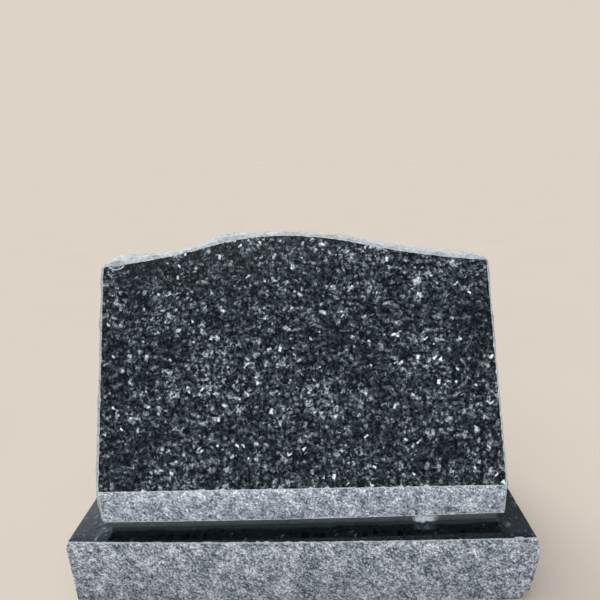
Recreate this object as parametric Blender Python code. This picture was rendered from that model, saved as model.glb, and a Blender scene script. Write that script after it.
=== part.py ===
"""A slant headstone of blue-grey granite: a wedge-shaped tablet with a serpentine top and a leaning polished
face, bedded on a low rectangular base. Metres, +Z up, the polished face looks towards -Y, and the origin is
the middle of the underside."""

import math

import bmesh
import bpy
from mathutils import Matrix, Vector, kdtree, noise

# The tablet. NOSE_TAPER is how much taller the nosing is at its left end than at its right, and TOP_SKEW
# how much higher the left shoulder is than the right. TOP_FALL is how far the top falls to the back.
# CROWN_SHARE is how far out the convex crown reaches, as a share of the way to the shoulder, and
# SHOULDER_EASE the slope of the top at the shoulder, as a share of its steepest slope
TABLET_WIDTH = 0.610
TABLET_DEPTH = 0.254
TABLET_HEIGHT = 0.4075
NOSE_HEIGHT = 0.052
NOSE_TAPER = 0.006
NOSE_BOW = 0.003
TOP_THICKNESS = 0.095
TOP_FALL = 0.010
TOP_SKEW = 0.012
CROWN_RISE = 0.0415
CROWN_X = -0.021
CROWN_SHARE = 0.39
SHOULDER_EASE = 0.30

# The base: its margins around the tablet, its height, and how far its front bows out in the middle
SIDE_MARGIN = 0.0435
FRONT_MARGIN = 0.0245
BACK_MARGIN = 0.026
BASE_HEIGHT = 0.115
FRONT_BOW = 0.0045

# The tablet was set a little to the right of the middle, and turned a little
SEAT_SHIFT = 0.0045
SEAT_TURN = math.radians(1.0)

# The bed of setting compound between the two, which squeezed out in one lump at the front
BED_THICKNESS = 0.018
BED_INSET = 0.007
BED_RAGGEDNESS = 0.0012
BED_RAGGED_LENGTH = 0.017
LUMP_X = 0.190
LUMP_WIDTH = 0.046
LUMP_PROUD = 0.005
SEAT_GAP = 0.0003

# The rock-pitched surfaces flare out from a straight pitched edge. REACH is how far their proudest point
# stands out. SCAR is the size of the dished scars that the chisel left, and SWELL is a slower unevenness
PITCH_REACH = 0.010
PITCH_FLARE = 0.015
SCAR_SIZE = 0.042
SCAR_SHARE = 0.55
SWELL_SIZE = 0.110
SWELL_SHARE = 0.30

# Where the pitching left the top higher: how far from the left side and behind the face's edge each rise is,
# its radius and its height
RISES = (
    (0.203, 0.030, 0.044, 0.0095),
    (0.013, 0.050, 0.060, 0.0065),
)

# Chips off the face's top edge: how far each is from the left side, its width, how far it runs down the
# face, and its depth. The ball that takes a chip off has its middle this share of the depth out of the face
CHIPS = (
    (0.0232, 0.026, 0.0085, 0.0030),
    (0.1332, 0.005, 0.0062, 0.0020),
    (0.2130, 0.006, 0.0035, 0.0018),
)
CHIP_LIFT = 0.2
CHIP_SEGMENTS = 14

# The base's sides stand out near its front. WIDENING_DROP is how far below the top corner they reach their
# full width, and WIDENING_REACH how far back they run. The right one bulges at this share of its height
LEFT_WIDENING = 0.0044
RIGHT_WIDENING = 0.0032
RIGHT_BULGE = 0.0036
RIGHT_BULGE_AT = 0.74
RIGHT_BULGE_SPREAD = 0.20
WIDENING_DROP = 0.012
WIDENING_REACH = 0.050

# The broken lower right corner of the base: how deep each facet of the break is, and its tilt
BREAK_FACETS = ((0.0090, -24), (0.0112, 0), (0.0090, 24))
BREAK_DIRECTION = Vector((1.0, -0.45, -1.0))

# How far apart the points of a surface are, and the rows of points in the nosing and the bed
POINT_SPACING = 0.015
NOSE_ROWS = 4
BED_ROWS = 2

FACE_LEAN = math.atan2(TABLET_DEPTH - TOP_THICKNESS, TABLET_HEIGHT - NOSE_HEIGHT)
BASE_WIDTH = TABLET_WIDTH + 2 * SIDE_MARGIN
BASE_DEPTH = FRONT_MARGIN + TABLET_DEPTH + BACK_MARGIN
BASE_FRONT_Y = (FRONT_BOW - BASE_DEPTH - PITCH_REACH) / 2
SEAT_Y = BASE_FRONT_Y + FRONT_MARGIN + TABLET_DEPTH / 2


def clear_scene():
    for obj in list(bpy.data.objects):
        bpy.data.objects.remove(obj, do_unlink=True)


def stone_material(name, colour, roughness):
    material = bpy.data.materials.new(name)
    material.use_nodes = True
    shader = material.node_tree.nodes["Principled BSDF"]
    shader.inputs["Base Color"].default_value = (*colour, 1.0)
    shader.inputs["Roughness"].default_value = roughness
    shader.inputs["Metallic"].default_value = 0.0
    return material


def rows_over(length):
    return max(2, round(length / POINT_SPACING))


def unit_block(counts):
    """A cube from 0 to 1 on each axis, cut into that many rows along X, Y and Z. With it come the points of
    each of its sides, by the name of the side, such as +x."""
    bm = bmesh.new()
    bmesh.ops.create_cube(bm, size=1.0, matrix=Matrix.Translation((0.5, 0.5, 0.5)))
    for axis, count in enumerate(counts):
        along = [e for e in bm.edges if abs(e.verts[0].co[axis] - e.verts[1].co[axis]) > 0.5]
        bmesh.ops.subdivide_edges(bm, edges=along, cuts=count - 1, use_grid_fill=True)
    sides = {}
    for axis, letter in enumerate("xyz"):
        sides["-" + letter] = [v for v in bm.verts if v.co[axis] < 0.0001]
        sides["+" + letter] = [v for v in bm.verts if v.co[axis] > 0.9999]
    return bm, sides


def rim_distances(sides, side):
    """For each point of one side of a block, its distance to the nearest point on that side's rim."""
    others = set()
    for name, points in sides.items():
        if name != side:
            others.update(points)
    rim = [v for v in sides[side] if v in others]
    tree = kdtree.KDTree(len(rim))
    for index, vert in enumerate(rim):
        tree.insert(vert.co, index)
    tree.balance()
    return {vert: tree.find(vert.co)[2] for vert in sides[side]}


def flare(rim_distance):
    """0 on a pitched edge, and 1 where the surface has flared out to its full height."""
    left = 1.0 - min(1.0, rim_distance / PITCH_FLARE)
    return 1.0 - left * left


def rock_height(point):
    """Height of a rock-pitched surface at a point, as a share: full, give or take a swell, less a scar."""
    swell = noise.noise(point / SWELL_SIZE)
    to_middle = min(1.0, noise.voronoi(point / SCAR_SIZE)[0][0])
    return 1.0 + SWELL_SHARE * swell - SCAR_SHARE * (1.0 - to_middle * to_middle)


def pitch_side(sides, side, outward):
    """Roughs one side of a block out from its rim, until its proudest point stands out by PITCH_REACH."""
    rims = rim_distances(sides, side)
    heights = {vert: flare(rim) * rock_height(vert.co) for vert, rim in rims.items()}
    scale = PITCH_REACH / max(heights.values())
    for vert, height in heights.items():
        vert.co += Vector(outward) * height * scale


def finished_object(name, bm, material, parent=None):
    bmesh.ops.recalc_face_normals(bm, faces=bm.faces)
    mesh = bpy.data.meshes.new(name)
    bm.to_mesh(mesh)
    bm.free()
    mesh.materials.append(material)
    obj = bpy.data.objects.new(name, mesh)
    obj.parent = parent
    bpy.context.scene.collection.objects.link(obj)
    return obj


def nose_height(x):
    """Height of the face's bottom edge, where the nosing ends."""
    return NOSE_HEIGHT - NOSE_TAPER * x / TABLET_WIDTH


def top_height(x):
    """Height of the face's top edge: convex over the crown, easing out towards each shoulder, and skewed."""
    offset = abs(x - CROWN_X)
    span = TABLET_WIDTH / 2 + (CROWN_X if x < CROWN_X else -CROWN_X)
    convex = CROWN_SHARE * span
    concave = span - convex
    steepest = 2 * CROWN_RISE / (convex + concave * (1 + SHOULDER_EASE))
    level = TABLET_HEIGHT - TOP_SKEW * (x - CROWN_X) / TABLET_WIDTH
    if offset < convex:
        return level - steepest * offset**2 / (2 * convex)
    past = offset - convex
    eased = steepest * (1 - SHOULDER_EASE) * past**2 / (2 * concave)
    return level - steepest * (convex / 2 + past) + eased


def face_y(x, z):
    """How far back the leaning face is at a height."""
    return (z - nose_height(x)) * math.tan(FACE_LEAN)


def rise(x, behind):
    """How much higher than its even form the top is at a place along it and behind the face's edge."""
    total = 0.0
    for from_left, back, radius, height in RISES:
        off = math.hypot(x + TABLET_WIDTH / 2 - from_left, behind - back) / radius
        total += height * max(0.0, 1.0 - off * off) * flare(behind)
    return total


def tablet_point(u, v, w, nose_share):
    """Places a point of the unit block on the tablet, whose nosing is at y = 0 and underside at z = 0."""
    x = (u - 0.5) * TABLET_WIDTH
    if w <= nose_share:
        level = nose_height(x) * w / nose_share
        front = -NOSE_BOW * (1.0 - (2.0 * u - 1.0) ** 2) * (1.0 - w / nose_share)
        return Vector((x, front + v * (TABLET_DEPTH - front), level))
    share = (w - nose_share) / (1.0 - nose_share)
    level = nose_height(x) + share * (top_height(x) - nose_height(x))
    front = face_y(x, level)
    level += (rise(x, v * TOP_THICKNESS) - TOP_FALL * v) * share
    return Vector((x, front + v * (TABLET_DEPTH - front), level))


def make_chip_cutter(tablet, number, from_left, width, drop, depth):
    """A flattened ball at the face's top edge that takes one chip off it."""
    x = from_left - TABLET_WIDTH / 2
    z = top_height(x)
    out_of_face = Vector((0.0, -math.cos(FACE_LEAN), math.sin(FACE_LEAN)))
    bm = bmesh.new()
    bmesh.ops.create_uvsphere(bm, u_segments=CHIP_SEGMENTS, v_segments=CHIP_SEGMENTS // 2, radius=1.0)
    bmesh.ops.scale(bm, vec=(width / 2, depth, drop), verts=bm.verts)
    cutter = finished_object(f"chip_cutter_{number}", bm, tablet.data.materials[0], tablet)
    cutter.location = Vector((x, face_y(x, z), z)) + out_of_face * depth * CHIP_LIFT
    cutter.rotation_euler = (-FACE_LEAN, 0.0, 0.0)
    cutter.hide_render = True
    cutter.display_type = "WIRE"
    cut = tablet.modifiers.new(f"chip_{number}", "BOOLEAN")
    cut.operation = "DIFFERENCE"
    cut.solver = "EXACT"
    cut.object = cutter


def make_tablet(material, seat):
    face_rows = rows_over(TABLET_HEIGHT - NOSE_HEIGHT)
    rows = NOSE_ROWS + face_rows
    bm, sides = unit_block((rows_over(TABLET_WIDTH), rows_over(TABLET_DEPTH), rows))
    for vert in bm.verts:
        u, v, w = (round(c, 6) for c in vert.co)
        vert.co = tablet_point(u, v, w, round(NOSE_ROWS / rows, 6))
    pitch_side(sides, "-x", (-1, 0, 0))
    pitch_side(sides, "+x", (1, 0, 0))
    pitch_side(sides, "+y", (0, 1, 0))
    pitch_side(sides, "+z", (0, 0, 1))
    tablet = finished_object("tablet", bm, material, seat)
    tablet.location = (0.0, -TABLET_DEPTH / 2, BED_THICKNESS + 2 * SEAT_GAP)
    for number, chip in enumerate(CHIPS, 1):
        make_chip_cutter(tablet, number, *chip)


def widening(right, behind, height):
    """How far one side of the base stands out at a place behind its front and at a height."""
    made = LEFT_WIDENING
    if right:
        off = (height / BASE_HEIGHT - RIGHT_BULGE_AT) / RIGHT_BULGE_SPREAD
        made = RIGHT_WIDENING + RIGHT_BULGE * math.exp(-off * off)
    near_front = max(0.0, 1.0 - behind / WIDENING_REACH) ** 2
    return made * near_front * min(1.0, (BASE_HEIGHT - height) / WIDENING_DROP)


def widen_front(sides):
    """Brings the base's sides out near its front, where they don't already stand out that far."""
    for side, sign in (("-x", -1), ("+x", 1)):
        for vert in sides[side]:
            behind = max(0.0, vert.co.y - BASE_FRONT_Y)
            least = BASE_WIDTH / 2 + widening(sign > 0, behind, vert.co.z)
            vert.co.x = sign * max(sign * vert.co.x, least)


def break_corner(bm):
    """Cuts the lower right front corner back in flat facets, one after another, and closes each cut."""
    corner = Vector((BASE_WIDTH / 2, BASE_FRONT_Y, 0.0))
    for depth, tilt in BREAK_FACETS:
        outward = BREAK_DIRECTION.normalized()
        outward.rotate(Matrix.Rotation(math.radians(tilt), 3, "Y"))
        cut = bmesh.ops.bisect_plane(
            bm,
            geom=bm.verts[:] + bm.edges[:] + bm.faces[:],
            plane_co=corner - outward * depth,
            plane_no=outward,
            clear_outer=True,
        )
        rim = [part for part in cut["geom_cut"] if isinstance(part, bmesh.types.BMEdge)]
        bmesh.ops.contextual_create(bm, geom=rim)


def make_base(material):
    bm, sides = unit_block((rows_over(BASE_WIDTH), rows_over(BASE_DEPTH), rows_over(BASE_HEIGHT)))
    for vert in bm.verts:
        u, v, w = vert.co
        front = BASE_FRONT_Y - FRONT_BOW * (1.0 - (2.0 * u - 1.0) ** 2)
        back = BASE_FRONT_Y + BASE_DEPTH
        vert.co = ((u - 0.5) * BASE_WIDTH, front + v * (back - front), w * BASE_HEIGHT)
    pitch_side(sides, "-x", (-1, 0, 0))
    pitch_side(sides, "+x", (1, 0, 0))
    pitch_side(sides, "+y", (0, 1, 0))
    widen_front(sides)
    break_corner(bm)
    finished_object("base", bm, material)


def make_bed(material, seat):
    """The bed, set in from the tablet's outline by BED_INSET, with ragged edges."""
    bm, sides = unit_block((rows_over(TABLET_WIDTH), rows_over(TABLET_DEPTH), BED_ROWS))
    width, depth = TABLET_WIDTH - 2 * BED_INSET, TABLET_DEPTH - 2 * BED_INSET
    for vert in bm.verts:
        u, v, w = vert.co
        vert.co = ((u - 0.5) * width, (v - 0.5) * depth, w * BED_THICKNESS)
    for side, outward in (("-x", (-1, 0, 0)), ("+x", (1, 0, 0)), ("-y", (0, -1, 0)), ("+y", (0, 1, 0))):
        for vert in sides[side]:
            ragged = BED_RAGGEDNESS * noise.noise(vert.co / BED_RAGGED_LENGTH)
            vert.co += Vector(outward) * ragged
    for vert in sides["-y"]:
        reach = min(1.0, abs(vert.co.x - LUMP_X) / (LUMP_WIDTH / 2))
        vert.co.y -= LUMP_PROUD * (1.0 - reach**4)
    bed = finished_object("setting_bed", bm, material, seat)
    bed.location = (0.0, 0.0, SEAT_GAP)


def make_seat():
    """The empty that carries the bed and the tablet where they were set on the base's top."""
    seat = bpy.data.objects.new("seat", None)
    seat.location = (SEAT_SHIFT, SEAT_Y, BASE_HEIGHT)
    seat.rotation_euler = (0.0, 0.0, SEAT_TURN)
    bpy.context.scene.collection.objects.link(seat)
    return seat


def main():
    clear_scene()
    seat = make_seat()
    make_base(stone_material("base_granite", (0.230, 0.265, 0.300), 0.70))
    make_bed(stone_material("setting_compound", (0.070, 0.080, 0.088), 0.90), seat)
    make_tablet(stone_material("tablet_granite", (0.055, 0.068, 0.078), 0.25), seat)


main()
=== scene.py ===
import math

import bmesh
import bpy
from mathutils import Matrix, Vector, kdtree, noise


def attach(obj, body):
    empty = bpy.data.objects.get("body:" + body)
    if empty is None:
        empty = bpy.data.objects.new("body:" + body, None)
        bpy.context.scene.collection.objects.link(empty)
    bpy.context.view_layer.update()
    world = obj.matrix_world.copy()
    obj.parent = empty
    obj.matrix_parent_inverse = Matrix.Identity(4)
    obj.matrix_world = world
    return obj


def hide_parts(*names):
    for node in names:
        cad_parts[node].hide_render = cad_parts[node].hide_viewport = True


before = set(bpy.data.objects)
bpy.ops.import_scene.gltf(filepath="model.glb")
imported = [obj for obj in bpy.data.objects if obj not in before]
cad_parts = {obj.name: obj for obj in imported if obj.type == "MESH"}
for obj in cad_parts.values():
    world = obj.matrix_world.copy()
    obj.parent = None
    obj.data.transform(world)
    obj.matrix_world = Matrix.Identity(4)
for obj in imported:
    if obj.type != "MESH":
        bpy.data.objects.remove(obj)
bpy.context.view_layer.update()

# The CAD's driving sizes, in metres, which the fine meshes share
TABLET_WIDTH = 0.610
TABLET_DEPTH = 0.254
TABLET_HEIGHT = 0.4075
NOSE_HEIGHT = 0.052
NOSE_TAPER = 0.006
NOSE_BOW = 0.003
TOP_THICKNESS = 0.095
TOP_FALL = 0.010
TOP_SKEW = 0.012
CROWN_RISE = 0.0415
CROWN_X = -0.021
CROWN_SHARE = 0.39
SHOULDER_EASE = 0.30
SIDE_MARGIN = 0.0435
FRONT_MARGIN = 0.0245
BACK_MARGIN = 0.026
BASE_HEIGHT = 0.115
FRONT_BOW = 0.0045
SEAT_SHIFT = 0.0045
SEAT_TURN = math.radians(1.0)
BED_THICKNESS = 0.018
BED_INSET = 0.007
LUMP_X = 0.190
LUMP_WIDTH = 0.046
LUMP_PROUD = 0.005
SEAT_GAP = 0.0003
PITCH_REACH = 0.010
PITCH_FLARE = 0.015
SCAR_SIZE = 0.042
SCAR_SHARE = 0.55
SWELL_SIZE = 0.110
SWELL_SHARE = 0.30
LEFT_WIDENING = 0.0044
RIGHT_WIDENING = 0.0032
RIGHT_BULGE = 0.0036
RIGHT_BULGE_AT = 0.74
RIGHT_BULGE_SPREAD = 0.20
WIDENING_DROP = 0.012
WIDENING_REACH = 0.050
BREAK_DIRECTION = Vector((1.0, -0.45, -1.0))

# Places where the pitched top stands higher: from the tablet's left, behind the face's edge, radius and height
RISES = (
    (0.203, 0.030, 0.044, 0.0095),
    (0.013, 0.050, 0.060, 0.0065),
)

# Chips in the face's top edge: middle from the left, width, drop down the face, and depth into the stone
CHIPS = (
    (0.0232, 0.026, 0.0085, 0.0030),
    (0.1332, 0.005, 0.0062, 0.0020),
    (0.2130, 0.006, 0.0035, 0.0018),
)
CHIP_LIFT = 0.2

FACE_LEAN = math.atan2(TABLET_DEPTH - TOP_THICKNESS, TABLET_HEIGHT - NOSE_HEIGHT)
BASE_WIDTH = TABLET_WIDTH + 2 * SIDE_MARGIN
BASE_DEPTH = FRONT_MARGIN + TABLET_DEPTH + BACK_MARGIN
BASE_FRONT_Y = (FRONT_BOW - BASE_DEPTH - PITCH_REACH) / 2
SEAT_Y = BASE_FRONT_Y + FRONT_MARGIN + TABLET_DEPTH / 2
SEAT = Matrix.Translation((SEAT_SHIFT, SEAT_Y, BASE_HEIGHT)) @ Matrix.Rotation(SEAT_TURN, 4, "Z")

# The fine meshes: the spacing of their points, and the width of the bruised arris along a worked edge
FINE_SPACING = 0.0032
CHIP_SPACING = 0.0008
ARRIS_WIDTH = 0.0011

# Spans where the points lie close for the chips: down the face, back from it, and in widths along each chip
CLOSE_DOWN = (0.0019, 0.0115)
CLOSE_BACK = (0.0019, 0.0059)
CLOSE_ALONG = 0.6

# Rows of points that the chips can reach, down the face and back over the top
CHIPPED_ROWS_DOWN = 20
CHIPPED_ROWS_BACK = 12

# How far each rock-pitched side stands out, how near its edge it does so, and how scarred it is
TABLET_PITCH = {
    "-x": (0.0098, 0.0045, 0.5),
    "+x": (0.0070, 0.0045, 0.8),
    "+y": (0.0100, 0.0060, 1.3),
    "+z": (0.0086, 0.0045, 0.45),
}
BASE_PITCH = {
    "-x": (0.0078, 0.0180, 0.7),
    "+x": (0.0070, 0.0180, 0.8),
    "+y": (0.0100, 0.0110, 0.9),
}

# The base's ends widen as this power of the share of the way to them
END_SHARPNESS = 12

# Fine relief of the rock-pitched faces: sizes and depths of the hollows left by the breaking crystals, the warp
# of their outlines, and the grain. It comes in over a distance from each worked edge.
HOLLOWS = ((0.026, 0.0046), (0.0100, 0.0017))
HOLLOW_WARP = 0.009
HOLLOW_WARP_SIZE = 0.024
WARP_SHIFTS = (0.0, 31.4, 57.9)
GRAIN_SIZE = 0.0065
GRAIN_DEPTH = 0.0007
GRAIN_OCTAVES = 3
RELIEF_REACH = 0.012

# Along a worked edge: its slight waver, and the small chips where their noise is over a threshold
WAVER_SIZE = 0.0045
WAVER_DEPTH = 0.0008
NIBBLE_SIZE = 0.0080
NIBBLE_SHIFT = Vector((7.0, 3.0, 1.0))
NIBBLE_THRESHOLD = 0.20

# How far those small chips go in for each unit of their noise, and how much nearer the edge its row starts off
FACE_FOOT_NIBBLES = (0.0060, 0.0008)
FACE_TOP_NIBBLES = (0.0020, 0.0)
FACE_SIDE_NIBBLES = (0.0030, 0.0004)
NOSING_TOP_NIBBLES = (0.0030, 0.0)
NOSING_FOOT_NIBBLES = (0.0060, 0.0)
BASE_FRONT_NIBBLES = (0.0045, 0.0)

# The first chip is a crescent, bruised between two radii, the inner one less to the right, and below a level
CRESCENT_INNER = 0.74
CRESCENT_SLANT = 0.10
CRESCENT_OUTER = 1.02
BRUISED_BELOW = 0.12

# The base's broken corner: the radius that it is worn to, its facets in degrees, and its share of the relief
BREAK_RADIUS = 0.023
BREAK_TILTS = range(-36, 37, 6)
BREAK_RELIEF = 0.5

# The setting bed: rows of points up it, and the depth and size of its edge's two wavers
BED_ROWS = 16
BED_WAVERS = ((0.0010, 0.017), (0.0005, 0.004))

# The dab on the bed: its middle and half height as shares of the bed's thickness, the amount and size of its
# outline's raggedness across and up, the power that rounds it, and the half span of the points close to it
DAB_MIDDLE = 0.45
DAB_HALF = 0.55
DAB_RAGGED_ACROSS = (0.5, 0.010)
DAB_RAGGED_UP = (0.6, 0.007)
DAB_ROUNDING = 0.7
DAB_SPAN = 0.030

# Material slots of a stone piece
POLISHED, PICKED, ROUGH, BRUISED = range(4)


def block(rows, place):
    """A closed block of quads. rows are the shares along x, y and z where its rows of points meet, and place puts
    each point. With it come each side's grid of points and its faces, by the name of the side."""
    bm = bmesh.new()
    counts = [len(shares) - 1 for shares in rows]
    made = {}

    def point(index):
        if index not in made:
            made[index] = bm.verts.new(place(*(rows[axis][index[axis]] for axis in range(3))))
        return made[index]

    grids, faces = {}, {}
    for axis, letter in enumerate("xyz"):
        across, up = [other for other in range(3) if other != axis]
        for sign, level in (("-", 0), ("+", counts[axis])):
            index = [0, 0, 0]
            index[axis] = level
            grid = []
            for i in range(counts[across] + 1):
                index[across] = i
                column = []
                for j in range(counts[up] + 1):
                    index[up] = j
                    column.append(point(tuple(index)))
                grid.append(column)
            grids[sign + letter] = grid
            faces[sign + letter] = [
                bm.faces.new((left[j], right[j], right[j + 1], left[j + 1]))
                for left, right in zip(grid, grid[1:])
                for j in range(counts[up])
            ]
    bmesh.ops.recalc_face_normals(bm, faces=bm.faces)
    return bm, grids, faces


def stations(length, start=0.0, end=1.0, close_spots=()):
    """Shares from start to end of a row of points FINE_SPACING apart, with a narrow arris row at each end. Each
    close spot is a span, from and to in metres, where they lie CHIP_SPACING apart."""
    count = max(2, round((length - 2 * ARRIS_WIDTH) / FINE_SPACING))
    places = [ARRIS_WIDTH + (length - 2 * ARRIS_WIDTH) * i / count for i in range(count + 1)]
    for low, high in close_spots:
        steps = round((high - low) / CHIP_SPACING)
        places = [place for place in places if not low - CHIP_SPACING < place < high + CHIP_SPACING]
        places += [low + (high - low) * i / steps for i in range(steps + 1)]
    places = [0.0, *sorted(places), length]
    return [start + (end - start) * place / length for place in places]


def verts_of(grid):
    return [vert for column in grid for vert in column]


def outward_of(side):
    """The direction that a side with a name such as -x looks in."""
    sign = 1.0 if side[0] == "+" else -1.0
    return Vector([sign if letter == side[1] else 0.0 for letter in "xyz"])


def nearest_distances(verts, targets):
    tree = kdtree.KDTree(len(targets))
    for index, vert in enumerate(targets):
        tree.insert(vert.co, index)
    tree.balance()
    return {vert: tree.find(vert.co)[2] for vert in verts}


def flare(rim_distance, reach):
    """0 on a pitched edge, and 1 where the surface has flared out to its full height."""
    left = 1.0 - min(1.0, rim_distance / reach)
    return 1.0 - left * left


def rock_height(point):
    """Height of a rock-pitched surface at a point, as a share: full, give or take a swell, less a scar."""
    swell = noise.noise(point / SWELL_SIZE)
    to_middle = min(1.0, noise.voronoi(point / SCAR_SIZE)[0][0])
    return 1.0 + SWELL_SHARE * swell - SCAR_SHARE * (1.0 - to_middle * to_middle)


def fine_relief(point):
    """How deep the hollows and the grain of a broken surface go in at a point."""
    shifts = [Vector((shift, 0.0, 0.0)) for shift in WARP_SHIFTS]
    warp = Vector([noise.noise(point / HOLLOW_WARP_SIZE + shift) for shift in shifts])
    place = point + warp * HOLLOW_WARP
    depth = GRAIN_DEPTH * noise.fractal(point / GRAIN_SIZE, 1.0, 2.0, GRAIN_OCTAVES)
    for size, deepest in HOLLOWS:
        to_middle = min(1.0, noise.voronoi(place / size)[0][0])
        depth += deepest * (1.0 - to_middle * to_middle)
    return depth


def pitch_sides(bm, grids, pitch):
    """Roughs the sides out, then gives them their fine relief. An edge that a worked side keeps stays
    straight, and an edge between two rough sides breaks up."""
    worked = {vert for side, grid in grids.items() if side not in pitch for vert in verts_of(grid)}
    for side, (reach, near, scarred) in pitch.items():
        outward = outward_of(side)
        others = {vert for name, grid in grids.items() if name != side for vert in verts_of(grid)}
        own = verts_of(grids[side])
        distances = nearest_distances(own, [vert for vert in own if vert in others])
        heights = {}
        for vert, rim in distances.items():
            heights[vert] = flare(rim, near) * (1.0 - scarred + scarred * rock_height(vert.co))
        scale = reach / max(heights.values())
        for vert, height in heights.items():
            vert.co += outward * height * scale
    bm.normal_update()
    rough_verts = {vert for side in pitch for vert in verts_of(grids[side])}
    kept_edge = [vert for vert in rough_verts if vert in worked]
    for vert, distance in nearest_distances(rough_verts - worked, kept_edge).items():
        share = min(1.0, distance / RELIEF_REACH)
        vert.co -= vert.normal * share * fine_relief(vert.co)


def nibble(row, away, deepest, nearer):
    """Moves a row of points beside a worked edge away from it by varying amounts, as small chips there do."""
    away = Vector(away)
    for vert in row[1:-1]:
        vert.co -= away * nearer
        waver = WAVER_DEPTH * noise.noise(vert.co / WAVER_SIZE)
        over = noise.noise(vert.co / NIBBLE_SIZE + NIBBLE_SHIFT) - NIBBLE_THRESHOLD
        vert.co += away * (waver + deepest * max(0.0, over))


def nose_height(x):
    return NOSE_HEIGHT - NOSE_TAPER * x / TABLET_WIDTH


def top_height(x):
    """Height of the face's top edge: convex over the crown, easing out towards each shoulder, and skewed."""
    offset = abs(x - CROWN_X)
    span = TABLET_WIDTH / 2 + (CROWN_X if x < CROWN_X else -CROWN_X)
    convex = CROWN_SHARE * span
    concave = span - convex
    steepest = 2 * CROWN_RISE / (convex + concave * (1 + SHOULDER_EASE))
    level = TABLET_HEIGHT - TOP_SKEW * (x - CROWN_X) / TABLET_WIDTH
    if offset < convex:
        return level - steepest * offset**2 / (2 * convex)
    past = offset - convex
    eased = steepest * (1 - SHOULDER_EASE) * past**2 / (2 * concave)
    return level - steepest * (convex / 2 + past) + eased


def face_y(x, z):
    return (z - nose_height(x)) * math.tan(FACE_LEAN)


def rise(x, behind):
    """How much higher than its even form the top is at a place along it and behind the face's edge."""
    total = 0.0
    for from_left, back, radius, height in RISES:
        off = math.hypot(x + TABLET_WIDTH / 2 - from_left, behind - back) / radius
        total += height * max(0.0, 1.0 - off * off) * flare(behind, PITCH_FLARE)
    return total


def tablet_point(u, v, w):
    """Places a point of the tablet. w runs from 0 to 1 up the nosing, and from 1 to 2 up the face."""
    x = (u - 0.5) * TABLET_WIDTH
    if w <= 1.0:
        level = nose_height(x) * w
        front = -NOSE_BOW * (1.0 - (2.0 * u - 1.0) ** 2) * (1.0 - w)
        return Vector((x, front + v * (TABLET_DEPTH - front), level))
    share = w - 1.0
    level = nose_height(x) + share * (top_height(x) - nose_height(x))
    front = face_y(x, level)
    level += (rise(x, v * TOP_THICKNESS) - TOP_FALL * v) * share
    return Vector((x, front + v * (TABLET_DEPTH - front), level))


def widening(right, behind, height):
    """How far one end of the base stands out at a place behind its front and at a height."""
    made = LEFT_WIDENING
    if right:
        off = (height / BASE_HEIGHT - RIGHT_BULGE_AT) / RIGHT_BULGE_SPREAD
        made = RIGHT_WIDENING + RIGHT_BULGE * math.exp(-off * off)
    near_front = max(0.0, 1.0 - behind / WIDENING_REACH) ** 2
    return made * near_front * min(1.0, (BASE_HEIGHT - height) / WIDENING_DROP)


def base_point(u, v, w):
    front = BASE_FRONT_Y - FRONT_BOW * (1.0 - (2.0 * u - 1.0) ** 2)
    back = BASE_FRONT_Y + BASE_DEPTH
    behind, height = v * BASE_DEPTH, w * BASE_HEIGHT
    x = (u - 0.5) * BASE_WIDTH
    x += widening(True, behind, height) * u**END_SHARPNESS
    x -= widening(False, behind, height) * (1.0 - u) ** END_SHARPNESS
    return Vector((x, front + v * (back - front), height))


def bed_point(u, v, w):
    width, depth = TABLET_WIDTH - 2 * BED_INSET, TABLET_DEPTH - 2 * BED_INSET
    x, y, z = (u - 0.5) * width, (v - 0.5) * depth, w * BED_THICKNESS
    spot = Vector((x, y, z))
    ragged = sum(reach * noise.noise(spot / size) for reach, size in BED_WAVERS)
    if u in (0.0, 1.0):
        x += ragged
    if v in (0.0, 1.0):
        y += ragged
    if v == 0.0:
        # A dab of compound, squeezed out and left
        wander_across, wander_up = [
            amount * noise.noise(spot / size) for amount, size in (DAB_RAGGED_ACROSS, DAB_RAGGED_UP)
        ]
        across = (x - LUMP_X) / (LUMP_WIDTH / 2) + wander_across
        up = (z - DAB_MIDDLE * BED_THICKNESS) / (DAB_HALF * BED_THICKNESS) + wander_up
        y -= LUMP_PROUD * max(0.0, 1.0 - across**2 - up**2) ** DAB_ROUNDING
    return Vector((x, y, z))


def object_from(name, bm, materials):
    mesh = bpy.data.meshes.new(name)
    bm.to_mesh(mesh)
    bm.free()
    for material in materials:
        mesh.materials.append(material)
    obj = bpy.data.objects.new(name, mesh)
    bpy.context.scene.collection.objects.link(obj)
    return obj


def paint_sides(faces, finish_by_side):
    """Gives each side its finish, and the rock-pitched ones smooth shading."""
    for side, finish in finish_by_side.items():
        for face in faces[side]:
            face.material_index = finish
            face.smooth = finish == ROUGH


def bruise_rows(grid, columns=(), rows=()):
    """Marks as bruised the faces between each named column or row of a grid and the next one."""
    strips = [list(zip(grid[c], grid[c + 1])) for c in columns]
    strips += [[(column[r], column[r + 1]) for column in grid] for r in rows]
    for strip in strips:
        ends = {vert for pair in strip for vert in pair}
        for face in {face for vert in ends for face in vert.link_faces}:
            if ends.issuperset(face.verts):
                face.material_index = BRUISED


def merge_flat(bm, faces, finish):
    """Joins the faces of a flat side that have this finish into one."""
    wide = [face for face in faces if face.is_valid and face.material_index == finish]
    bmesh.ops.dissolve_faces(bm, faces=wide, use_verts=True)


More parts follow.
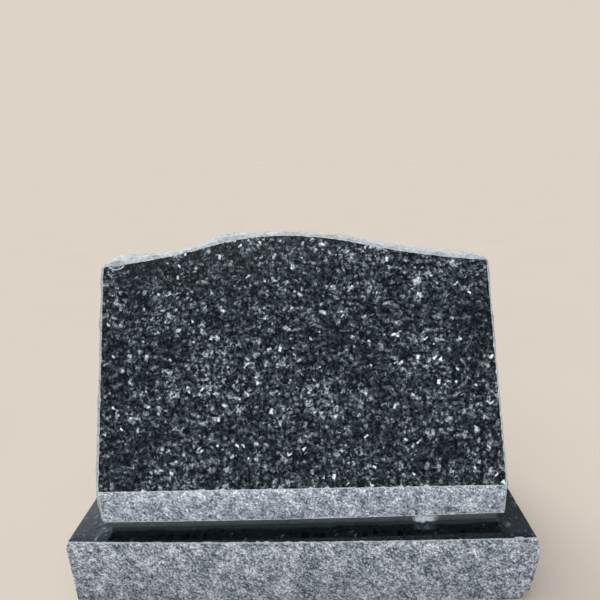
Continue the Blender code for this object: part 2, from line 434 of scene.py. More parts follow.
def chip_share(co, chip):
    """Where a point of the tablet lies in a chip: across its width, down the face, and into the stone, each as
    a share of the chip's own reach."""
    from_left, width, drop, depth = chip
    edge_z = top_height(co.x)
    edge = Vector((co.x, face_y(co.x, edge_z), edge_z))
    down = Vector((0.0, -math.sin(FACE_LEAN), -math.cos(FACE_LEAN)))
    inward = Vector((0.0, math.cos(FACE_LEAN), -math.sin(FACE_LEAN)))
    across = (co.x + TABLET_WIDTH / 2 - from_left) / (width / 2)
    return across, (co - edge).dot(down) / drop, (co - edge).dot(inward) / depth + CHIP_LIFT


def sink_chip(inside, shares, chip):
    """Sinks the points within a chip onto its hollow, into the stone and down the face at once."""
    _, _, drop, depth = chip
    sine, cosine = math.sin(FACE_LEAN), math.cos(FACE_LEAN)
    way_in = Vector((0.0, cosine - sine, -sine - cosine))
    # How far to go is the root of a quadratic, a t^2 + b t + c
    a = 1.0 / drop**2 + 1.0 / depth**2
    for vert in inside:
        across, below, deep = shares[vert]
        b = 2.0 * (below / drop + deep / depth)
        c = across**2 + below**2 + deep**2 - 1.0
        vert.co += way_in * (-b + math.sqrt(b * b - 4.0 * a * c)) / (2.0 * a)


def is_bruised(chip, across, below):
    """Whether a chip's floor is bruised at a place in it. It is polished elsewhere."""
    from_middle = math.hypot(across, below)
    if chip == CHIPS[0]:
        within = CRESCENT_INNER - CRESCENT_SLANT * across < from_middle < CRESCENT_OUTER
    else:
        within = from_middle < 1.0
    return within and below > BRUISED_BELOW


def chip_top_edge(front, top, face_side):
    """Sinks the chips into the face's top edge, paints them, and gives back the points that it sank."""
    near_edge = {vert for column in front for vert in column[-CHIPPED_ROWS_DOWN:]}
    near_edge |= {vert for column in top for vert in column[:CHIPPED_ROWS_BACK]}
    sunk = set()
    for chip in CHIPS:
        shares = {vert: chip_share(vert.co, chip) for vert in near_edge}
        inside = [vert for vert, share in shares.items() if sum(part * part for part in share) < 1.0]
        for face in {face for vert in inside for face in vert.link_faces if face in face_side}:
            across, below, _ = chip_share(face.calc_center_median(), chip)
            face.material_index = BRUISED if is_bruised(chip, across, below) else POLISHED
        sink_chip(inside, shares, chip)
        sunk.update(inside)
    return sunk


def tablet_rows():
    """Rows of points along, back and up the tablet, and the number of the row at the top of the nosing."""
    spans = [
        (from_left - CLOSE_ALONG * width, from_left + CLOSE_ALONG * width) for from_left, width, _, _ in CHIPS
    ]
    nosing = stations(NOSE_HEIGHT)
    height = TABLET_HEIGHT - NOSE_HEIGHT
    face = stations(height, 1.0, 2.0, [(height - CLOSE_DOWN[1], height - CLOSE_DOWN[0])])
    along = stations(TABLET_WIDTH, close_spots=spans)
    back = stations(TABLET_DEPTH, close_spots=[CLOSE_BACK])
    return (along, back, nosing + face[1:]), len(nosing) - 1


def make_tablet(materials):
    rows, seam = tablet_rows()
    bm, grids, faces = block(rows, tablet_point)
    pitch_sides(bm, grids, TABLET_PITCH)
    finishes = {"-x": ROUGH, "+x": ROUGH, "+y": ROUGH, "+z": ROUGH, "-z": PICKED, "-y": POLISHED}
    paint_sides(faces, finishes)
    front = grids["-y"]
    nosing = {vert for column in front for vert in column[:seam + 1]}
    for face in faces["-y"]:
        if nosing.issuperset(face.verts):
            face.material_index = PICKED
    bruise_rows(front, columns=(0, -2), rows=(0, seam - 1, seam, -2))
    up_face = Vector((0.0, math.sin(FACE_LEAN), math.cos(FACE_LEAN)))
    nibble([column[seam + 1] for column in front], up_face, *FACE_FOOT_NIBBLES)
    nibble([column[seam - 1] for column in front], (0, 0, -1), *NOSING_TOP_NIBBLES)
    nibble([column[1] for column in front], (0, 0, 1), *NOSING_FOOT_NIBBLES)
    nibble([column[-2] for column in front], -up_face, *FACE_TOP_NIBBLES)
    nibble(front[1], (1, 0, 0), *FACE_SIDE_NIBBLES)
    nibble(front[-2], (-1, 0, 0), *FACE_SIDE_NIBBLES)
    sunk = chip_top_edge(front, grids["+z"], set(faces["-y"]))
    merge_flat(bm, [face for face in faces["-y"] if not sunk.intersection(face.verts)], POLISHED)
    merge_flat(bm, faces["-z"], PICKED)
    bm.transform(SEAT @ Matrix.Translation((0.0, -TABLET_DEPTH / 2, BED_THICKNESS + 2 * SEAT_GAP)))
    tablet = object_from("fine_tablet", bm, materials)
    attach(tablet, "root")
    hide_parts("tablet")


def break_corner(verts):
    """Moves the points of the base's lower right front corner back onto the round of the break."""
    corner = Vector((BASE_WIDTH / 2, BASE_FRONT_Y, 0.0))
    moved = set()
    for tilt in BREAK_TILTS:
        outward = BREAK_DIRECTION.normalized()
        outward.rotate(Matrix.Rotation(math.radians(tilt), 3, "Y"))
        depth = BREAK_RADIUS * (math.sqrt(2.0) * math.cos(math.radians(tilt)) - 1.0)
        for vert in verts:
            past = (vert.co - corner).dot(outward) + depth
            if past > 0.0:
                vert.co -= outward * past
                moved.add(vert)
    for vert in moved:
        vert.co -= BREAK_DIRECTION.normalized() * BREAK_RELIEF * fine_relief(vert.co)
    return moved


def make_base(materials):
    rows = [stations(length) for length in (BASE_WIDTH, BASE_DEPTH, BASE_HEIGHT)]
    bm, grids, faces = block(rows, base_point)
    pitch_sides(bm, grids, BASE_PITCH)
    finishes = {"-x": ROUGH, "+x": ROUGH, "+y": ROUGH, "-z": PICKED, "-y": PICKED, "+z": POLISHED}
    paint_sides(faces, finishes)
    front, top = grids["-y"], grids["+z"]
    bruise_rows(front, rows=(-2,))
    bruise_rows(top, rows=(0,))
    nibble([column[-2] for column in front], (0, 0, -1), *BASE_FRONT_NIBBLES)
    nibble([column[1] for column in top], (0, 1, 0), *BASE_FRONT_NIBBLES)
    broken = break_corner(bm.verts)
    whole_bottom = [face for face in faces["-z"] if not broken.intersection(face.verts)]
    for face in {face for vert in broken for face in vert.link_faces}:
        face.material_index = PICKED
        face.smooth = True
    merge_flat(bm, faces["+z"], POLISHED)
    merge_flat(bm, whole_bottom, PICKED)
    base = object_from("fine_base", bm, materials)
    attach(base, "root")
    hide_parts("base")


def make_bed(material):
    dab = 0.5 * TABLET_WIDTH + LUMP_X
    along = stations(TABLET_WIDTH, close_spots=[(dab - DAB_SPAN, dab + DAB_SPAN)])
    up = [row / BED_ROWS for row in range(BED_ROWS + 1)]
    bm, _, faces = block((along, stations(TABLET_DEPTH), up), bed_point)
    for side in ("-x", "+x", "-y", "+y"):
        for face in faces[side]:
            face.smooth = True
    merge_flat(bm, faces["+z"], 0)
    merge_flat(bm, faces["-z"], 0)
    bm.transform(SEAT @ Matrix.Translation((0.0, 0.0, SEAT_GAP)))
    bed = object_from("fine_setting_bed", bm, [material])
    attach(bed, "root")
    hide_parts("setting_bed")


# Half the softness of a scattered crystal's outline, in its size, and how much of its share is fully lit
FLAKE_SOFTNESS = 0.06
FLAKE_LIT = 0.6

# The Mix node's sockets for two colours and their mixture
MIX_A, MIX_B, MIX_RESULT = 6, 7, 2


class Nodes:
    """A short way to write one material's nodes."""

    def __init__(self, name, roughness, specular=0.5):
        self.material = bpy.data.materials.new(name)
        self.material.use_nodes = True
        self.tree = self.material.node_tree
        self.shader = self.tree.nodes["Principled BSDF"]
        self.shader.inputs["Roughness"].default_value = roughness
        self.shader.inputs["Specular IOR Level"].default_value = specular
        self.place = self.add("ShaderNodeTexCoord").outputs["Object"]

    def add(self, kind, **settings):
        made = self.tree.nodes.new(kind)
        for key, value in settings.items():
            setattr(made, key, value)
        return made

    def put(self, value, socket):
        if isinstance(value, bpy.types.NodeSocket):
            self.tree.links.new(value, socket)
        else:
            socket.default_value = value

    def math(self, operation, *values):
        made = self.add("ShaderNodeMath", operation=operation)
        for value, socket in zip(values, made.inputs):
            self.put(value, socket)
        return made.outputs[0]

    def chain(self, operation, parts):
        made = parts[0]
        for part in parts[1:]:
            made = self.math(operation, made, part)
        return made

    def total(self, *parts):
        return self.chain("ADD", parts)

    def product(self, *parts):
        return self.chain("MULTIPLY", parts)

    def rest(self, share):
        """What is left of 1."""
        return self.math("SUBTRACT", 1.0, share)

    def line(self, value, start, slope):
        return self.math("ADD", start, self.product(value, slope))

    def around(self, value, reach):
        """A value of 0 to 1, moved to lie around 0 and scaled."""
        return self.product(self.math("SUBTRACT", value, 0.5), reach)

    def xyz(self, vector):
        made = self.add("ShaderNodeSeparateXYZ")
        self.put(vector, made.inputs[0])
        return made.outputs

    def noise(self, place, size, detail=3.0, roughness=0.5, output="Fac"):
        made = self.add("ShaderNodeTexNoise")
        self.put(place, made.inputs["Vector"])
        made.inputs["Scale"].default_value = 1.0 / size
        made.inputs["Detail"].default_value = detail
        made.inputs["Roughness"].default_value = roughness
        return made.outputs[output]

    def ragged(self, size, amount):
        """The place, shifted about by a soft noise, so that outlines come out ragged."""
        centred = self.add("ShaderNodeVectorMath", operation="SUBTRACT")
        self.put(self.noise(self.place, size, 2.0, output="Color"), centred.inputs[0])
        centred.inputs[1].default_value = (0.5, 0.5, 0.5)
        scaled = self.add("ShaderNodeVectorMath", operation="SCALE")
        self.put(centred.outputs[0], scaled.inputs[0])
        scaled.inputs["Scale"].default_value = amount
        moved = self.add("ShaderNodeVectorMath", operation="ADD")
        self.put(self.place, moved.inputs[0])
        self.put(scaled.outputs[0], moved.inputs[1])
        return moved.outputs[0]

    def turned(self, place, degrees, stretch, by):
        """The place, turned and squeezed, so that a pattern there comes out long in one direction."""
        made = self.add("ShaderNodeMapping", vector_type="TEXTURE")
        self.put(place, made.inputs["Vector"])
        made.inputs["Location"].default_value = (by, by, by)
        made.inputs["Rotation"].default_value = [math.radians(angle) for angle in degrees]
        made.inputs["Scale"].default_value = (stretch, 1.0, 1.0)
        return made.outputs[0]

    def crystals(self, place, size):
        """Angular crystals: three random values for each, and the distance to its middle in crystal sizes."""
        made = self.add("ShaderNodeTexVoronoi", distance="CHEBYCHEV")
        self.put(place, made.inputs["Vector"])
        made.inputs["Scale"].default_value = 1.0 / size
        parts = self.add("ShaderNodeSeparateColor")
        self.put(made.outputs["Color"], parts.inputs[0])
        return parts.outputs, made.outputs["Distance"]

    def flakes(self, place, degrees, stretch, size, share, by, low, high, half):
        """Scattered crystals: the given share of them, from low to high in value and 0 elsewhere. half is half
        a crystal's width, in the given size."""
        cell, middle = self.crystals(self.turned(place, degrees, stretch, by), size)
        within = self.rest(self.between(middle, half - FLAKE_SOFTNESS, half + FLAKE_SOFTNESS))
        lit = self.product(self.between(cell[1], 1.0 - share, 1.0 - FLAKE_LIT * share), within)
        return self.product(lit, self.line(cell[2], low, high - low))

    def scattered(self, place, kinds):
        return self.total(*[self.flakes(place, *kind) for kind in kinds])

    def ramp(self, value, stops):
        made = self.add("ShaderNodeValToRGB")
        elements = made.color_ramp.elements
        while len(elements) < len(stops):
            elements.new(1.0)
        for element, (position, colour) in zip(elements, stops):
            element.position = position
            element.color = (*colour, 1.0)
        self.put(value, made.inputs["Fac"])
        return made.outputs["Color"]

    def mix(self, factor, a, b, blend="MIX"):
        made = self.add("ShaderNodeMix", data_type="RGBA", blend_type=blend)
        self.put(factor, made.inputs["Factor"])
        for value, socket in ((a, made.inputs[MIX_A]), (b, made.inputs[MIX_B])):
            self.put(value if isinstance(value, bpy.types.NodeSocket) else (*value, 1.0), socket)
        return made.outputs[MIX_RESULT]

    def tinted(self, colour, tint):
        return self.mix(1.0, colour, tint, "MULTIPLY")

    def between(self, value, low, high):
        """0 below low, 1 above high."""
        made = self.add("ShaderNodeMapRange", interpolation_type="SMOOTHSTEP")
        self.put(value, made.inputs["Value"])
        made.inputs["From Min"].default_value = low
        made.inputs["From Max"].default_value = high
        return made.outputs["Result"]

    def bump(self, height, depth, strength):
        made = self.add("ShaderNodeBump")
        made.inputs["Strength"].default_value = strength
        made.inputs["Distance"].default_value = depth
        self.put(height, made.inputs["Height"])
        self.put(made.outputs["Normal"], self.shader.inputs["Normal"])

    def colour(self, value):
        self.put(value, self.shader.inputs["Base Color"])


def linear(red, green, blue):
    """A colour given as 0 to 255, as the eye's scale has it, in the renderer's linear scale."""
    def channel(value):
        share = value / 255
        return share / 12.92 if share <= 0.04045 else ((share + 0.055) / 1.055) ** 2.4
    return (channel(red), channel(green), channel(blue))


def greys(stops, cool):
    """Stops of a colour ramp, from positions and brightnesses of 0 to 255, all leaning to blue by cool."""
    return [(position, linear(level - cool, level, level + cool * 0.9)) for position, level in stops]


WHITE = (1.0, 1.0, 1.0)

# Specular levels of the polished face, and of the stone and compound that aren't polished
POLISH_SPECULAR = 0.35
DULL_SPECULAR = 0.25

# Raggedness of the polished and the picked stone's crystals: the noise's size and its reach
POLISHED_OUTLINES = (0.0030, 0.0026)
PICKED_OUTLINES = (0.0024, 0.0014)

# Layers of crystals on the polished face: turn in degrees, stretch, size and weight
MOSAIC_LAYERS = (
    ((15, 10, 20), 1.8, 0.0038, 0.38),
    ((-20, 75, 15), 1.8, 0.0034, 0.34),
    ((10, 130, -20), 1.6, 0.0024, 0.28),
)
MOSAIC_CONTRAST = 2.4
MOSAIC_GAIN = 0.8

# Scattered crystals: turn in degrees, stretch, size, share, shift, lowest and highest value, and half width
PALE_CRYSTALS = (
    ((15, 40, 25), 1.6, 0.0100, 0.16, 5.1, 0.14, 0.44, 0.32),
    ((-20, 110, -20), 1.7, 0.0090, 0.16, 6.1, 0.14, 0.44, 0.32),
)
# Crystals whose flash is painted into their colour: painted glints
PAINTED_FLASH_CRYSTALS = (
    ((15, -30, 25), 2.4, 0.0056, 0.060, 1.3, 0.22, 0.95, 0.27),
    ((-20, 50, 20), 2.4, 0.0056, 0.060, 2.1, 0.22, 0.95, 0.27),
    ((20, 105, 30), 1.6, 0.0080, 0.050, 3.3, 0.22, 0.95, 0.27),
)
TOP_CRYSTALS = (
    ((25, 10, 75), 1.5, 0.0110, 0.30, 5.1, 0.10, 0.6, 0.34),
    ((-20, 50, -20), 2.0, 0.0070, 0.30, 6.1, 0.10, 0.8, 0.34),
    ((40, -70, 70), 1.6, 0.0048, 0.25, 3.3, 0.20, 1.0, 0.30),
)
TOP_FLECKS = (
    ((10, 20, 60), 2.0, 0.0060, 0.09, 7.7, 0.10, 0.85, 0.27),
    ((30, -50, 15), 1.4, 0.0110, 0.09, 4.3, 0.10, 0.70, 0.27),
)

# Colour stops, each a position and a brightness
POLISHED_STOPS = (
    (0.055, 2), (0.080, 8), (0.105, 18), (0.144, 27), (0.203, 39), (0.242, 46), (0.282, 54),
    (0.333, 64), (0.382, 77), (0.438, 95), (0.513, 119), (0.614, 151), (0.756, 187), (0.983, 243),
)
PICKED_DARK_STOPS = ((0.16, 62), (0.26, 88), (0.34, 103), (0.43, 122), (0.50, 138), (0.59, 156))
PICKED_PALE_STOPS = ((0.67, 173), (0.76, 191), (0.87, 218))
PITCHED_STOPS = ((0.16, 138), (0.34, 166), (0.43, 176), (0.50, 182), (0.67, 192), (0.87, 210))
BRUISED_STOPS = ((0.32, 150), (0.5, 196), (0.7, 220))


def mosaic(n):
    """The polished stone's pattern of crystals, as a value of 0 to about 1."""
    place = n.ragged(*POLISHED_OUTLINES)
    layers = []
    for degrees, stretch, size, weight in MOSAIC_LAYERS:
        cell, _ = n.crystals(n.turned(place, degrees, stretch, 0.3), size)
        layers.append(n.product(n.math("POWER", cell[0], MOSAIC_CONTRAST), weight))
    grain = n.around(n.noise(n.place, 0.0019, 2.0, 0.6), 0.30)
    cloud = n.line(n.noise(n.place, 0.020, 3.0, 0.6), 0.25, 1.50)
    wide = n.line(n.noise(n.place, 0.090, 2.0), 0.35, 1.30)
    value = n.product(n.total(*layers, grain), cloud, wide)
    mottle = n.line(n.noise(n.place, 0.0026, 2.0, 0.6), 0.45, 1.10)
    pale = n.product(n.scattered(place, PALE_CRYSTALS), mottle)
    # The pale crystals are the stone's own colour; the flashing ones are painted glints
    return n.product(n.total(value, pale, n.scattered(place, PAINTED_FLASH_CRYSTALS)), MOSAIC_GAIN)


def polished_granite():
    """Dark blue-grey granite, polished: a mosaic of feldspar crystals, some with their flash painted into their
    colour as painted glints.
    """
    n = Nodes("polished_granite", 0.12, POLISH_SPECULAR)
    n.colour(n.ramp(mosaic(n), greys(POLISHED_STOPS, 7)))
    return n.material


# The base's top: how far the painted reflection at its ends fades in on each side of the tablet's, where that
# painted reflection starts and is full behind the front arris and how ragged that is, its share and the specks'
# in it, and the share of the flecks and what they gain in it as painted light
ENDS_FADE = 0.012
PAINTED_REFLECTION_FROM, PAINTED_REFLECTION_FULL = 0.004, 0.018
PAINTED_REFLECTION_RAGGED = 0.010
PAINTED_REFLECTION_SHARE, PAINTED_REFLECTION_SPECKS = 0.30, 0.45
FLECK_SHARE, FLECK_PAINTED_LIGHT_GAIN = 0.22, 0.70

# How much less the strip in front of the painted reflection shines
FRONT_DULLING = 0.6

# How far the smear of compound reaches over the base's top from the joint
SMEAR_REACH = 0.009


def from_seat(n):
    """How far a place on the base lies from the tablet's middle, along it, and from the setting bed."""
    seat = n.add("ShaderNodeMapping", vector_type="TEXTURE")
    n.put(n.place, seat.inputs["Vector"])
    seat.inputs["Location"].default_value = (SEAT_SHIFT, SEAT_Y, 0.0)
    seat.inputs["Rotation"].default_value = (0.0, 0.0, SEAT_TURN)
    off_middle = n.xyz(seat.outputs[0])
    along, back = [n.math("ABSOLUTE", off_middle[axis]) for axis in (0, 1)]
    squares = []
    for part, size in ((along, TABLET_WIDTH), (back, TABLET_DEPTH)):
        beyond = n.math("MAXIMUM", n.math("SUBTRACT", part, size / 2 - BED_INSET), 0.0)
        squares.append(n.product(beyond, beyond))
    return along, n.math("SQRT", n.total(*squares))


def polished_top():
    """The same polish on the base's level top. Seen from the front its crystals lie so that they only shine
    where they mirror something bright. Beyond the tablet's ends, short of the front arris, a pale grey painted
    reflection takes the place of its shine. Bright flecks lie in it, painted stronger beyond the tablet's ends as
    painted light, and a little compound is smeared along the joint."""
    n = Nodes("polished_top", 0.10)
    n.shader.inputs["Specular Tint"].default_value = (0.86, 0.97, 1.0, 1.0)
    place = n.ragged(*POLISHED_OUTLINES)
    shine = n.math("MINIMUM", n.scattered(place, TOP_CRYSTALS), 1.0)
    grain = n.noise(n.place, 0.0030, 3.0, 0.6)
    colour = n.mix(shine, n.ramp(grain, greys(((0.35, 12), (0.65, 24)), 4)), linear(118, 128, 136))
    along, from_bed = from_seat(n)
    ends = n.between(along, TABLET_WIDTH / 2 - ENDS_FADE, TABLET_WIDTH / 2 + ENDS_FADE)
    specks = n.between(n.noise(n.place, 0.0050, 4.0, 0.75), 0.40, 0.70)
    behind = n.math("SUBTRACT", n.xyz(n.place)[1], BASE_FRONT_Y)
    inner = n.between(n.total(behind, n.product(specks, PAINTED_REFLECTION_RAGGED)), PAINTED_REFLECTION_FROM, PAINTED_REFLECTION_FULL)
    # Painted reflection: pale grey painted over the ends of the top, in place of the shine there
    painted_reflection = n.product(ends, inner, n.line(specks, PAINTED_REFLECTION_SHARE, PAINTED_REFLECTION_SPECKS))
    colour = n.mix(painted_reflection, colour, n.mix(shine, linear(50, 57, 63), linear(104, 112, 118)))
    # Painted light: the flecks are painted stronger beyond the tablet's ends
    flecks = n.product(n.scattered(place, TOP_FLECKS), n.line(ends, FLECK_SHARE, FLECK_PAINTED_LIGHT_GAIN))
    flecks = n.math("MINIMUM", flecks, 1.0)
    colour = n.mix(flecks, colour, linear(140, 148, 155))
    streaks = n.noise(n.turned(n.place, (0, 0, 0), 3.0, 0.1), 0.012, 4.0, 0.6)
    reach = n.product(streaks, SMEAR_REACH * 2.0)
    smear = n.rest(n.between(n.math("DIVIDE", from_bed, reach), 0.0, 1.0))
    n.colour(n.mix(smear, colour, linear(66, 73, 78)))
    front_strip = n.product(ends, n.product(n.rest(inner), FRONT_DULLING))
    bare = n.product(*[n.rest(cover) for cover in (smear, painted_reflection, flecks, front_strip)])
    n.put(n.product(bare, n.between(shine, 0.01, 0.12)), n.shader.inputs["Metallic"])
    return n.material


def pick_marks(n):
    """The picked stone's pattern of bruised crystals, as a value around 0."""
    ragged = n.ragged(*PICKED_OUTLINES)
    layers = []
    for place, degrees, stretch, by, size, reach in (
        (ragged, (20, 35, 15), 1.8, 0.3, 0.0030, 0.24),
        (ragged, (70, -30, 100), 1.8, 0.3, 0.0030, 0.24),
        (n.place, (40, 25, 60), 1.3, 0.7, 0.0022, 0.42),
    ):
        cell, _ = n.crystals(n.turned(place, degrees, stretch, by), size)
        layers.append(n.around(cell[0], reach))
    grain = n.around(n.noise(n.place, 0.0021, 4.0, 0.75), 0.85)
    cloud = n.around(n.noise(n.place, 0.019, 3.0, 0.6), 0.75)
    return n.total(*layers, grain, cloud)


# Painted light: how pale the picked stone is painted at heights over the ground, brighter towards each top, as a
# share of its middling paleness, and its tint
PAINTED_LIGHT_BY_HEIGHT = (
    (0.0, 0.92), (0.050, 1.04), (0.085, 1.18), (0.115, 1.30),
    (0.134, 1.25), (0.160, 1.41), (0.174, 1.60), (0.185, 1.88),
)
PALE_TOP = 0.200
PICKED_TINT = (1.01, 0.985, 1.01)

# Contrast of the base's pick marks, and what the nosing's have less, from one height to another
PICK_CONTRAST, NOSING_SOFTER = 1.08, 0.20
NOSING_FROM, NOSING_FULL = 0.115, 0.133


def picked_granite():
    """The same granite, finely picked: the bruised crystals scatter light and look pale. Painted light makes it
    paler the nearer it is to the upper arris of the base or the nosing."""
    n = Nodes("picked_granite", 0.80, DULL_SPECULAR)
    height = n.xyz(n.place)[2]
    softer = n.product(n.between(height, NOSING_FROM, NOSING_FULL), NOSING_SOFTER)
    contrast = n.math("SUBTRACT", PICK_CONTRAST, softer)
    value = n.total(0.5, n.product(pick_marks(n), contrast))
    shares = [(level / PALE_TOP, [share * part for part in PICKED_TINT]) for level, share in PAINTED_LIGHT_BY_HEIGHT]
    # Painted light: the picked stone's colour is scaled paler towards the top of the base and of the nosing
    painted_light = n.ramp(n.math("DIVIDE", height, PALE_TOP), shares)
    stops = greys(PICKED_DARK_STOPS, 9) + greys(PICKED_PALE_STOPS, 5)
    n.colour(n.tinted(n.ramp(value, stops), painted_light))
    n.bump(value, 0.0010, 0.5)
    return n.material


# The pitched stone's painted shade where it faces sideways, and the slopes, as the upward part of the surface's
# normal, over which it gives way
SIDE_PAINTED_SHADE = (0.77, 0.81, 0.85)
STEEP, LEVEL = 0.40, 0.80


def pitched_granite():
    """The same granite where it was broken: pale, sugary crystal faces with darker grains between. What faces
    sideways is painted darker than what faces up, as painted shade."""
    n = Nodes("pitched_granite", 0.85, DULL_SPECULAR)
    value = n.total(0.5, pick_marks(n))
    upward = n.xyz(n.add("ShaderNodeNewGeometry").outputs["Normal"])[2]
    # Painted shade: surfaces that face sideways are tinted darker than those that face up
    painted_side_shade = n.mix(n.between(upward, STEEP, LEVEL), SIDE_PAINTED_SHADE, WHITE)
    n.colour(n.tinted(n.ramp(value, greys(PITCHED_STOPS, 3)), painted_side_shade))
    n.bump(value, 0.0012, 0.5)
    return n.material


# The bruised line's tint along the base, and the heights over which it gives way
BASE_LINE_TINT = (0.76, 0.77, 0.80)
LINE_FROM, LINE_FULL = 0.118, 0.130


def bruised_granite():
    """The thin line of crushed crystals along a worked edge, duller along the base."""
    n = Nodes("bruised_granite", 0.85, DULL_SPECULAR)
    fleck = n.noise(n.place, 0.0060, 3.0, 0.6)
    worn = n.mix(n.between(n.xyz(n.place)[2], LINE_FROM, LINE_FULL), BASE_LINE_TINT, WHITE)
    n.colour(n.tinted(n.ramp(fleck, greys(BRUISED_STOPS, 6)), worn))
    n.bump(n.noise(n.place, 0.0020, 3.0, 0.6), 0.0008, 0.6)
    return n.material


# The compound, in metres: heights over the base between which its painted shade at the foot ends, distances
# beside the dab's middle over which the dab ends, and heights over which it does
SHADED_BELOW, UNSHADED_ABOVE = -0.002, 0.010
DAB_BESIDE = (0.010, 0.022)
DAB_ABOVE = (0.014, 0.020)


def setting_compound():
    """Trowelled dark grey compound with sand in it, painted darker at its foot as painted shade, and palest at
    the dab.
    """
    n = Nodes("setting_compound", 0.85, DULL_SPECULAR)
    sand = n.noise(n.place, 0.0035, 4.0, 0.6)
    dark = n.ramp(sand, greys(((0.3, 76), (0.5, 92), (0.7, 112)), 5))
    pale = n.ramp(sand, greys(((0.3, 196), (0.5, 218), (0.7, 240)), 5))
    along, back, height = n.xyz(n.place)
    above = n.math("SUBTRACT", height, BASE_HEIGHT)
    # Painted shade: the compound is painted darker towards its foot, where it meets the base
    unshaded = n.between(n.total(above, n.product(n.noise(n.place, 0.010), 0.003)), SHADED_BELOW, UNSHADED_ABOVE)
    colour = n.mix(unshaded, linear(58, 64, 69), dark)
    wavy = n.around(n.noise(n.place, 0.012), 0.020)
    beside = n.math("ABSOLUTE", n.math("SUBTRACT", n.total(along, wavy), LUMP_X + SEAT_SHIFT))
    level = n.total(above, n.product(n.noise(n.place, 0.008), 0.008))
    dab = n.product(
        n.rest(n.between(beside, *DAB_BESIDE)),
        n.rest(n.between(level, *DAB_ABOVE)),
        n.math("LESS_THAN", back, SEAT_Y),
    )
    n.colour(n.mix(dab, colour, pale))
    n.bump(sand, 0.0010, 0.6)
    return n.material


# The photo's camera, fitted to the stone's corners
CAMERA_PLACE = Vector((0.0455, -0.6975, 0.6478))
CAMERA_PITCH = math.radians(16.585)
CAMERA_YAW = math.radians(-2.628)
CAMERA_ROLL = math.radians(-2.619)
FOCAL_PIXELS = 454.37
PHOTO_PIXELS = 600
SENSOR_WIDTH = 36.0


def make_camera():
    data = bpy.data.cameras.new("camera")
    data.sensor_width = SENSOR_WIDTH
    data.lens = SENSOR_WIDTH * FOCAL_PIXELS / PHOTO_PIXELS
    data.clip_start = 0.01
    camera = bpy.data.objects.new("camera", data)
    sin_yaw, cos_yaw = math.sin(CAMERA_YAW), math.cos(CAMERA_YAW)
    cos_pitch = math.cos(CAMERA_PITCH)
    forward = Vector((sin_yaw * cos_pitch, cos_yaw * cos_pitch, -math.sin(CAMERA_PITCH)))
    level = Vector((cos_yaw, -sin_yaw, 0.0))
    upright = level.cross(forward)
    right = math.cos(CAMERA_ROLL) * level + math.sin(CAMERA_ROLL) * upright
    up = math.cos(CAMERA_ROLL) * upright - math.sin(CAMERA_ROLL) * level
    turn = Matrix((right, up, -forward)).transposed()
    camera.matrix_world = Matrix.Translation(CAMERA_PLACE) @ turn.to_4x4()
    bpy.context.scene.collection.objects.link(camera)
    bpy.context.scene.camera = camera


# The studio's floor and backdrop
FLOOR_RADIUS = 400.0
FLOOR_ALBEDO = (0.481, 0.420, 0.364)
BACKDROP = linear(221, 211, 199)

# Soft light from all round, and from overhead and a window behind on the left: where each of those is, the
# cosines off it between which it comes in, and its strength
ROUND_LIGHT = 0.25
SOFT_LIGHTS = (
    (Vector((-0.15, -0.10, 1.0)), 0.60, 1.0, 2.2),
    (Vector((-0.505, 0.777, 0.375)), 0.945, 0.985, 1.9),
)
SOFT_LIGHT_COLOUR = (0.96, 0.99, 1.0)

# Wide suns: name, the direction that each shines in, strength, angle in degrees and colour
SUNS = (
    ("front", (0.15, 0.96, -0.18), 1.9, 80, (0.92, 0.97, 1.0)),
    ("behind", (0.50, -0.75, -0.60), 2.0, 60, (0.96, 0.98, 1.0)),
)


def floor_material():
    n = Nodes("studio_floor", 0.9, 0.0)
    low, high = [[share * part for part in FLOOR_ALBEDO] for share in (0.99, 1.01)]
    n.colour(n.ramp(n.noise(n.place, 0.35, 2.0), ((0.3, low), (0.7, high))))
    return n.material


def make_sun(name, towards, strength, angle, colour):
    data = bpy.data.lights.new(name, "SUN")
    data.energy = strength
    data.angle = math.radians(angle)
    data.color = colour
    sun = bpy.data.objects.new(name, data)
    sun.rotation_euler = Vector(towards).to_track_quat("-Z", "Y").to_euler()
    sun.visible_glossy = False
    bpy.context.scene.collection.objects.link(sun)


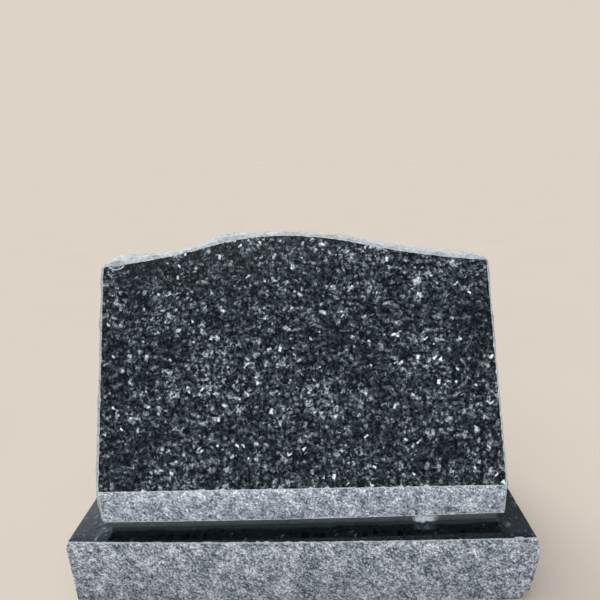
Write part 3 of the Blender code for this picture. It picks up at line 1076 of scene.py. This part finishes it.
def make_world():
    world = bpy.data.worlds.new("studio")
    bpy.context.scene.world = world
    world.use_nodes = True
    nodes, links = world.node_tree.nodes, world.node_tree.links
    direction = nodes.new("ShaderNodeTexCoord").outputs["Generated"]
    brightness = None
    for middle, low, high, strength in SOFT_LIGHTS:
        towards = nodes.new("ShaderNodeVectorMath")
        towards.operation = "DOT_PRODUCT"
        links.new(direction, towards.inputs[0])
        towards.inputs[1].default_value = middle.normalized()
        glow = nodes.new("ShaderNodeMapRange")
        glow.interpolation_type = "SMOOTHSTEP"
        links.new(towards.outputs["Value"], glow.inputs["Value"])
        glow.inputs["From Min"].default_value = low
        glow.inputs["From Max"].default_value = high
        glow.inputs["To Max"].default_value = strength
        total = nodes.new("ShaderNodeMath")
        links.new(glow.outputs["Result"], total.inputs[0])
        total.inputs[1].default_value = ROUND_LIGHT
        if brightness:
            links.new(brightness, total.inputs[1])
        brightness = total.outputs[0]
    light = nodes["Background"]
    light.inputs["Color"].default_value = (*SOFT_LIGHT_COLOUR, 1.0)
    links.new(brightness, light.inputs["Strength"])
    backdrop = nodes.new("ShaderNodeBackground")
    backdrop.inputs["Color"].default_value = (*BACKDROP, 1.0)
    mix = nodes.new("ShaderNodeMixShader")
    links.new(nodes.new("ShaderNodeLightPath").outputs["Is Camera Ray"], mix.inputs[0])
    links.new(light.outputs[0], mix.inputs[1])
    links.new(backdrop.outputs[0], mix.inputs[2])
    links.new(mix.outputs[0], nodes["World Output"].inputs["Surface"])


def make_stage():
    bm = bmesh.new()
    bmesh.ops.create_circle(bm, cap_ends=True, segments=96, radius=FLOOR_RADIUS)
    floor = object_from("studio_floor", bm, [floor_material()])
    make_world()
    for sun in SUNS:
        make_sun(*sun)
    scene = bpy.context.scene
    scene.view_settings.view_transform = "Standard"
    scene.view_settings.look = "None"


def main():
    polished = polished_granite()
    worked = [picked_granite(), pitched_granite(), bruised_granite()]
    make_base([polished_top(), *worked])
    make_bed(setting_compound())
    make_tablet([polished, *worked])
    make_camera()
    make_stage()


main()
